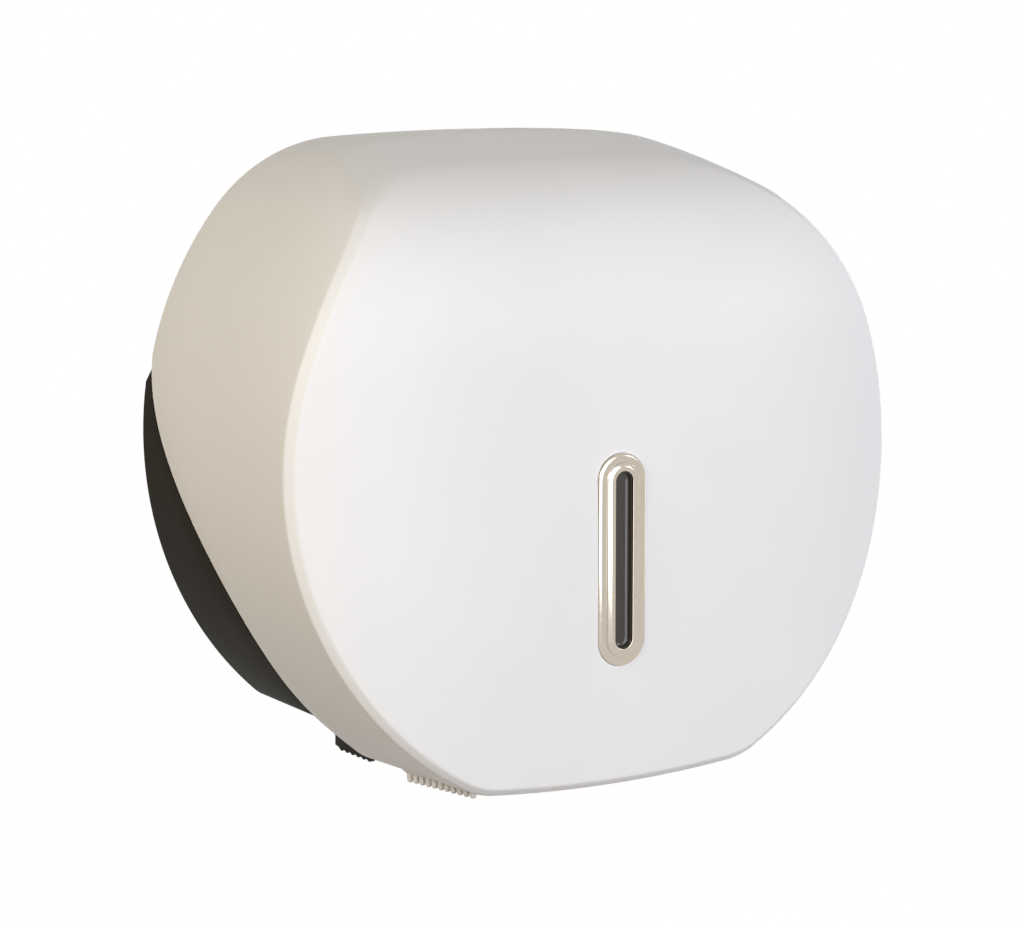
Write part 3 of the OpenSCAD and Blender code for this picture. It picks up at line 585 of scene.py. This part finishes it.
panel_ring = inner_ring([PANEL] * len(skirt))
step = [max(PANEL + 0.5, y - STEP_START) for y in skirt]
step_end = [max(PANEL + 1, y - STEP_END) for y in skirt]
brim = [max(BRIM_ROUND, y - BRIM_ROUND) for y in skirt]
tip = [y + r for y, r in zip(skirt, reach)]
brim_in, brim_corner, brim_out = skirt_ring(skirt, ROUNDED), skirt_ring(skirt), skirt_ring(brim)
rings = [shrunk(panel_ring, CENTRE), panel_ring, inner_ring(step),
         base_ring(TONGUE_IN, step_end), base_ring(TONGUE_IN, tip),
         base_ring(TONGUE_OUT, tip), base_ring(TONGUE_OUT, skirt), brim_in]
rings += corner_rings(brim_in, brim_corner, brim_out, RIM_STEPS) + [brim_out]
rings += [skirt_ring([y * t for y in brim]) for t in (0.66, 0.33, 0)]
rings.append(shrunk(rings[-1], CENTRE))
base = loft("base_shell", rings)

# the cheeks with the hinge's lugs, the post's pad, the ribs, and the block for the lock's keeper
CHEEK_X, CHEEK, HINGE_Y, HINGE_H, LUG = 55.0, 3.0, 50.0, 9.5, 6.0
quarter = [math.pi / 2 * k / 8 for k in range(9)]
cheek_side = [(-18, 4.4)]
cheek_side += [(-HINGE_Y - LUG * math.sin(a), HINGE_H - LUG * math.cos(a)) for a in quarter]
cheek_side += [(-FLOOR_Y - 0.5, FLOOR_H + TONGUE), (PANEL_ROOT, FLOOR_H + TONGUE), (PANEL_ROOT, 9)]
cheek_points = [(CHEEK_X, y, h) for y, h in cheek_side]
cheek_right = slab("cheek_right", cheek_points, (CHEEK, 0, 0), bevel=0.3)
PAD_D, PAD_Y = 60, -8
pad = rod("spindle_pad", PAD_D, (0, PANEL_ROOT, AXIS_H), (0, PAD_Y, AXIS_H), bevel=0.5)
pieces = [base, cheek_right, mirrored(cheek_right, "cheek_left"), pad]
RIB_START, RIB_END, RIB_RISE = 28, 90, 5
for degrees in (0, 62, 90, 118, 180, 242, 270, 298):
    c, s = math.cos(math.radians(degrees)), math.sin(math.radians(degrees))
    corners = []
    for r, side in ((RIB_START, 1), (RIB_END, 1), (RIB_END, -1), (RIB_START, -1)):
        corners.append((r * c - side * s, PANEL_ROOT, AXIS_H + r * s + side * c))
    pieces.append(slab("rib", corners, (0, -RIB_RISE, 0), bevel=0.25))
KEEPER_LOW, KEEPER_HIGH, KEEPER_RISE = 150, 169, 8
keeper_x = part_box("lock_keeper")[0][0] / MM
keeper_points = []
for x, h in ((-1, KEEPER_LOW), (11, KEEPER_LOW), (11, KEEPER_HIGH), (-1, KEEPER_HIGH)):
    keeper_points.append((keeper_x + x, PANEL_ROOT, h))
pieces.append(slab("keeper_block", keeper_points, (0, -KEEPER_RISE, 0), bevel=0.4))

# the level slots for the wall screws, each in its own pad
SCREW_X, SCREW_LOW, SCREW_HIGH, SCREW_PAD_D, SCREW_PAD_Y = 70, 61, 171, 18, -5
SCREW_SLOT_W, SCREW_SLOT_L, SCREW_CUT_Y, SCREW_CUT = 5.5, 11, 1, 8
upright = stadium(SCREW_SLOT_W, SCREW_SLOT_L, 0, 0)
for x in (-SCREW_X, SCREW_X):
    for h in (SCREW_LOW, SCREW_HIGH):
        pad = rod("screw_pad", SCREW_PAD_D, (x, PANEL_ROOT, h), (x, SCREW_PAD_Y, h), bevel=0.4)
        ring = [(x + along, SCREW_CUT_Y, h + across) for across, _, along in upright]
        hole = slab("wall_slot", ring, (0, -SCREW_CUT, 0))
        combine(base, hole, keep=True)
        combine(pad, hole)
        pieces.append(pad)
base = join(*pieces)
smooth(base)
charcoal = plastic("charcoal_abs", (0.025, 0.0218, 0.0165), 0.6,
                   specular=0.03, grain=700, bump=0.12, mottle=0.12)
dress(base, charcoal)
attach(base, "base")
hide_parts("base_plate")

# ---------------------------------------------------------------- window bezel
# A slot-shaped trim of nickel-chromed zinc, pushed through the cover: a flat flange with
# rolled edges and a raised lip round the opening.

VIEW_W, VIEW_L, LIP = 7.8, 67.5, 2.6
FLAT, CROWN, SLEEVE_Y = 1.86, 2.95, -5  # heights above the seat in the cover
LENS_BACK = 2.1


def metal(name, colour, roughness, brush=0.0, scale=(400.0, 400.0, 400.0)):
    """Bare or plated metal with faint polishing marks."""
    made, tree, shader = new_material(name)
    shader.inputs["Metallic"].default_value = 1.0
    where = add_node(tree, "TexCoord")
    turn = add_node(tree, "Mapping", {"Scale": scale})
    marks = add_node(tree, "TexNoise", {"Scale": 1.0, "Detail": 5.0})
    tree.links.new(where.outputs["Object"], turn.inputs["Vector"])
    tree.links.new(turn.outputs["Vector"], marks.inputs["Vector"])
    vary(tree, marks, colour, 0.92, roughness, 0.3)
    emboss(tree, marks, brush, 0.0001)
    return made


# the section of the ring: how far out from the opening, and how high
flange = (BEZEL_W - VIEW_W) / 2
flange_section = [
    (LIP, 0), (flange - 0.4, 0), (flange, 0.4), (flange, 1.35), (flange - 0.1, 1.48),
    (flange - 0.15, 1.51), (flange - 0.85, 1.83), (flange - 0.95, FLAT), (flange - 1.05, FLAT)]
lip_section = [
    (LIP + 0.7, FLAT), (LIP + 0.6, FLAT), (LIP + 0.54, 1.92), (LIP + 0.5, 2.26),
    (LIP + 0.42, 2.36), (LIP + 0.34, 2.4), (LIP - 0.8, 2.91), (LIP - 0.95, CROWN),
    (LIP - 1.05, CROWN), (0.16, CROWN), (0.08, 2.94), (0, 2.86)]
sleeve_section = [(0, -LENS_BACK), (1.3, -LENS_BACK), (1.3, SLEEVE_Y), (LIP, SLEEVE_Y)]
bezel_rings = []
for out, y in flange_section + lip_section + sleeve_section:
    bezel_rings.append(stadium(VIEW_W + 2 * out, VIEW_L + 2 * out, SEAT_Y + y, WINDOW_H))
bezel = loft("window_bezel", bezel_rings, closed=True)
nickel = metal("nickel_chrome", (0.585, 0.52, 0.435), 0.1, brush=0.02)
smooth(bezel, 40)
dress(bezel, nickel)
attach(bezel, "cover")
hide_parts("window_frame")

# ---------------------------------------------------------------- window lens
# A channel of smoked acrylic behind the bezel: its pane lies back in the opening, between
# walls that reach up inside the lip.

LENS_Y, LENS_T, LENS_FIT, LENS_BRIM = SEAT_Y - LENS_BACK, 1.5, 0.3, 2.4
LENS_W, LENS_L = VIEW_W - LENS_FIT, VIEW_L - LENS_FIT
rings = [stadium(0.5, VIEW_L - 8, LENS_Y - LENS_T, WINDOW_H),
         stadium(VIEW_W + LENS_BRIM, VIEW_L + LENS_BRIM, LENS_Y - LENS_T, WINDOW_H),
         stadium(VIEW_W + LENS_BRIM, VIEW_L + LENS_BRIM, LENS_Y, WINDOW_H),
         stadium(LENS_W, LENS_L, LENS_Y, WINDOW_H)]
# width and height of the walls' tops, their inner faces and the pane
for w, y in ((7.5, 4.4), (7.3, 4.58), (6.9, 4.6), (6.72, 4.5), (6.6, 3.7), (6.4, 3.25),
             (6.0, 2.92), (5.4, 2.72), (4.6, 2.6), (3.0, 2.55), (0.1, 2.55)):
    rings.append(stadium(w, LENS_L - LENS_W + w, LENS_Y + y, WINDOW_H))
lens = loft("window_channel", rings)
smoked = plastic("smoked_acrylic", (0.045, 0.037, 0.029), 0.14,
                 specular=0.5, grain=60, bump=0.02, mottle=0.2)
smooth(lens, 50)
dress(lens, smoked)
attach(lens, "cover")
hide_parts("window_lens")

# ---------------------------------------------------------------- front tear combs
# White strips pegged to the rails along both sides of the paper slot, each with a row of
# round-ended ribs that hang below it.

COMB_X = slot_x(FRONT_COMB_Y)
COMB_L, COMB_T, TOOTH = 51.7, 2.4, 3.5
FRONT_RIBS, RIB_PITCH, RIB_R, RIB_STEPS, RIB_SIDES = 11, 4.25, 1.3, 6, 20
FIRST_RIB, TIP_DROP = 1.5, 0.1  # each rib hangs a little lower than the one behind it
PEG_D, PEG_START, PEG_END = 3, -0.5, 2.2
PEG_H, PEG_PLACES = TOOTH + BAR_H * 0.62, (0.16, 0.84)


def front_comb_point(x, y, z):
    """From the comb's own frame, at its rear outer tip, to the dispenser's."""
    c, s = math.cos(FRONT_TILT), math.sin(FRONT_TILT)
    y, z = y * c + z * s, z * c - y * s
    c, s = math.cos(TAPER), math.sin(TAPER)
    return COMB_X + x * c + y * s, y * c - x * s - FRONT_COMB_Y, z - TOOTH


bar = ((-COMB_T, TOOTH), (0, TOOTH), (0, TOOTH + BAR_H), (-COMB_T, TOOTH + BAR_H))
bar_rear, bar_front = ([front_comb_point(x, y, z) for x, z in bar] for y in (0, -COMB_L))
along = tuple(b - a for a, b in zip(bar_rear[0], bar_front[0]))
pieces = [slab("front_comb_right", bar_rear, along, bevel=0.3)]
around = [2 * math.pi * m / RIB_SIDES for m in range(RIB_SIDES)]
for i in range(FRONT_RIBS):
    middle, tip = -FIRST_RIB - i * RIB_PITCH, TIP_DROP - TIP_DROP * i
    rings = []
    for k in range(1, RIB_STEPS + 2):
        a = math.pi / 2 * min(k, RIB_STEPS) / RIB_STEPS
        r = RIB_R * math.sin(a)
        z = tip + RIB_R * (1 - math.cos(a)) if k <= RIB_STEPS else TOOTH + 0.5
        rings.append([front_comb_point(-COMB_T / 2 + r * math.cos(b), middle + r * math.sin(b), z)
                      for b in around])
    pieces.append(loft("tooth", rings))
for share in PEG_PLACES:
    start, end = (front_comb_point(x, -COMB_L * share, PEG_H) for x in (PEG_START, PEG_END))
    pieces.append(rod("peg", PEG_D, start, end, sides=24))
comb_right = join(*pieces)
smooth(comb_right)
comb_white = plastic("comb_abs", (0.84, 0.83, 0.81), 0.4)
dress(comb_right, comb_white)
comb_left = mirrored(comb_right, "front_comb_left")
for piece, node in ((comb_right, "cover_comb_right"), (comb_left, "cover_comb_left")):
    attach(piece, "cover")
    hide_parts(node)

# ---------------------------------------------------------------- rear tear combs
# Dark strips pegged to the inner faces of the base's cheeks, with low saw teeth downwards.

REAR_TEETH, REAR_PITCH, FIRST_TIP_Y, FIRST_VALLEY_Y = 6, 4.4, -18, -20
TIP_H, TOP_H, REAR_END_Y, STEP_Y, FRONT_END_Y = -2.9, 9.5, -11, -13.3, -44.8
REAR_PEG_H, REAR_PEG_PLACES = 6.3, (-14, -39)
saw = [(REAR_END_Y, TOP_H), (REAR_END_Y, 4.5), (STEP_Y, 2.5), (STEP_Y, TIP_H + 1.7),
       (-16.1, TIP_H + 1.2)]
for i in range(REAR_TEETH):
    saw += [(FIRST_TIP_Y - i * REAR_PITCH, TIP_H), (FIRST_VALLEY_Y - i * REAR_PITCH, TIP_H + 1.1)]
saw += [(FRONT_END_Y, TIP_H + 2.4), (FRONT_END_Y, TOP_H)]
saw_points = [(CHEEK_X - COMB_T, y, h) for y, h in saw]
pieces = [slab("rear_comb_right", saw_points, (COMB_T, 0, 0), bevel=0.15)]
for y in REAR_PEG_PLACES:
    start, end = ((CHEEK_X + x, y, REAR_PEG_H) for x in (PEG_START, PEG_END))
    pieces.append(rod("peg", PEG_D, start, end, sides=24))
rear_right = join(*pieces)
smooth(rear_right)
comb_dark = plastic("comb_charcoal", (0.022, 0.02, 0.016), 0.55,
                    specular=0.06, grain=700, bump=0.08, mottle=0.1)
dress(rear_right, comb_dark)
rear_left = mirrored(rear_right, "rear_comb_left")
for piece, node in ((rear_right, "base_comb_right"), (rear_left, "base_comb_left")):
    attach(piece, "base")
    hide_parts(node)

# ---------------------------------------------------------------- lock, roll holder and hinge pins
# Bought-in cam lock in satin nickel and zinc-plated steel, plain steel screws and pins, a grey
# moulded post with its washer, and a pale grey hub that turns on it. Their CAD shapes stay.

satin_nickel = metal("lock_satin_nickel", (0.34, 0.33, 0.3), 0.38, brush=0.02)
barrel_nickel = metal("barrel_nickel", (0.45, 0.42, 0.36), 0.3, brush=0.05)
zinc = metal("zinc_plate", (0.62, 0.62, 0.6), 0.35, brush=0.12, scale=(120.0, 120.0, 900.0))
steel = metal("bright_steel", (0.6, 0.59, 0.57), 0.28, brush=0.08)
post_grey = plastic("grey_acetal", (0.2, 0.2, 0.2), 0.42, grain=800, bump=0.06, mottle=0.06)
hub_grey = plastic("pale_grey_acetal", (0.52, 0.52, 0.5), 0.4, grain=800, bump=0.06, mottle=0.05)
black = plastic("black_clip", (0.02, 0.02, 0.02), 0.5, grain=800, bump=0.08, mottle=0.1)
for material, names in (
        (satin_nickel, ["lock_housing"]),
        (barrel_nickel, ["lock_barrel"]),
        (zinc, ["lock_nut", "lock_cam", "lock_keeper"]),
        (steel, ["cam_screw", "keeper_screws", "spindle_screws", "hub_screw"]),
        (steel, ["hinge_pin_left", "hinge_pin_right"]),
        (post_grey, ["spindle_post", "hub_washer"]),
        (hub_grey, ["core_hub"]),
        (black, ["window_retainer"])):
    for name in names:
        for slot in nodes[name].material_slots:
            slot.material = material

# ---------------------------------------------------------------- floor, light and camera
# A pale studio floor some way below the dispenser, which hangs as if on its wall.

FLOOR_Z, FLOOR_SIZE = -0.9, 12
deselect()
bpy.ops.mesh.primitive_plane_add(size=FLOOR_SIZE, location=(0, 0, FLOOR_Z))
floor = bpy.context.object
floor.name = floor.data.name = "studio_floor"


def seen_directly(tree):
    """1 for what the camera sees, also by reflection or through glass, and 0 for cast light."""
    rays = add_node(tree, "LightPath")
    link = rays.outputs["Is Camera Ray"]
    for kind in ("Is Glossy Ray", "Is Transmission Ray"):
        either = add_node(tree, "Math")
        either.operation = "MAXIMUM"
        tree.links.new(link, either.inputs[0])
        tree.links.new(rays.outputs[kind], either.inputs[1])
        link = either.outputs[0]
    return link


paper, tree, shader = new_material("studio_paper")
shader.inputs["Base Color"].default_value = (0.3, 0.25, 0.19, 1)
shader.inputs["Roughness"].default_value = 0.9
glow = add_node(tree, "Emission", {"Color": (1, 1, 1, 1), "Strength": 1.1})
lift = add_node(tree, "Math", {1: 0.9})
lift.operation = "MULTIPLY"
mix = add_node(tree, "MixShader")
tree.links.new(seen_directly(tree), lift.inputs[0])
tree.links.new(lift.outputs[0], mix.inputs["Fac"])
tree.links.new(shader.outputs["BSDF"], mix.inputs[1])
tree.links.new(glow.outputs["Emission"], mix.inputs[2])
tree.links.new(mix.outputs["Shader"], tree.nodes["Material Output"].inputs["Surface"])
dress(floor, paper)

world = bpy.data.worlds.new("studio")
bpy.context.scene.world = world
world.use_nodes = True
tree = world.node_tree
sky = tree.nodes["Background"]
sky.inputs["Color"].default_value = (1.0, 0.95, 0.88, 1)
sky.inputs["Strength"].default_value = 0.03
backdrop = add_node(tree, "Background", {"Color": (1, 1, 1, 1)})
mix = add_node(tree, "MixShader")
tree.links.new(seen_directly(tree), mix.inputs["Fac"])
tree.links.new(sky.outputs["Background"], mix.inputs[1])
tree.links.new(backdrop.outputs["Background"], mix.inputs[2])
tree.links.new(mix.outputs["Shader"], tree.nodes["World Output"].inputs["Surface"])

TARGET = Vector((0, -0.06, 0))


def softbox(name, place, size, power, colour=(1, 1, 1)):
    """A square lamp that faces the dispenser."""
    data = bpy.data.lights.new(name, "AREA")
    data.shape = "SQUARE"
    data.size = size
    data.energy = power
    data.color = colour
    lamp = bpy.data.objects.new(name, data)
    bpy.context.collection.objects.link(lamp)
    lamp.location = place
    lamp.rotation_euler = (TARGET - Vector(place)).to_track_quat("-Z", "Y").to_euler()


softbox("front_softbox", (0, -2.2, 0.3), 1.6, 34.3, (0.885, 0.93, 1.0))
softbox("right_softbox", (1.6, -1.7, 0.48), 0.55, 10.5, (0.96, 0.92, 1.0))
softbox("left_softbox", (-1.9, -0.55, 0.92), 1.0, 29.6, (1.0, 0.91, 0.76))
softbox("far_right_softbox", (2.2, 0.5, 0.25), 1.6, 13)
softbox("rear_softbox", (0.6, 2.2, 0), 0.22, 20)

AZIMUTH, ELEVATION = -32.399, 8.794
view = bpy.data.cameras.new("camera")
view.sensor_width = 36
view.sensor_fit = "HORIZONTAL"
view.lens = 121.672
camera = bpy.data.objects.new("camera", view)
bpy.context.collection.objects.link(camera)
camera.location = (-0.7166, -1.1874, 0.2041)
camera.rotation_euler = (math.radians(90 - ELEVATION), 0, math.radians(AZIMUTH))
bpy.context.scene.camera = camera
bpy.context.scene.view_settings.view_transform = "Standard"
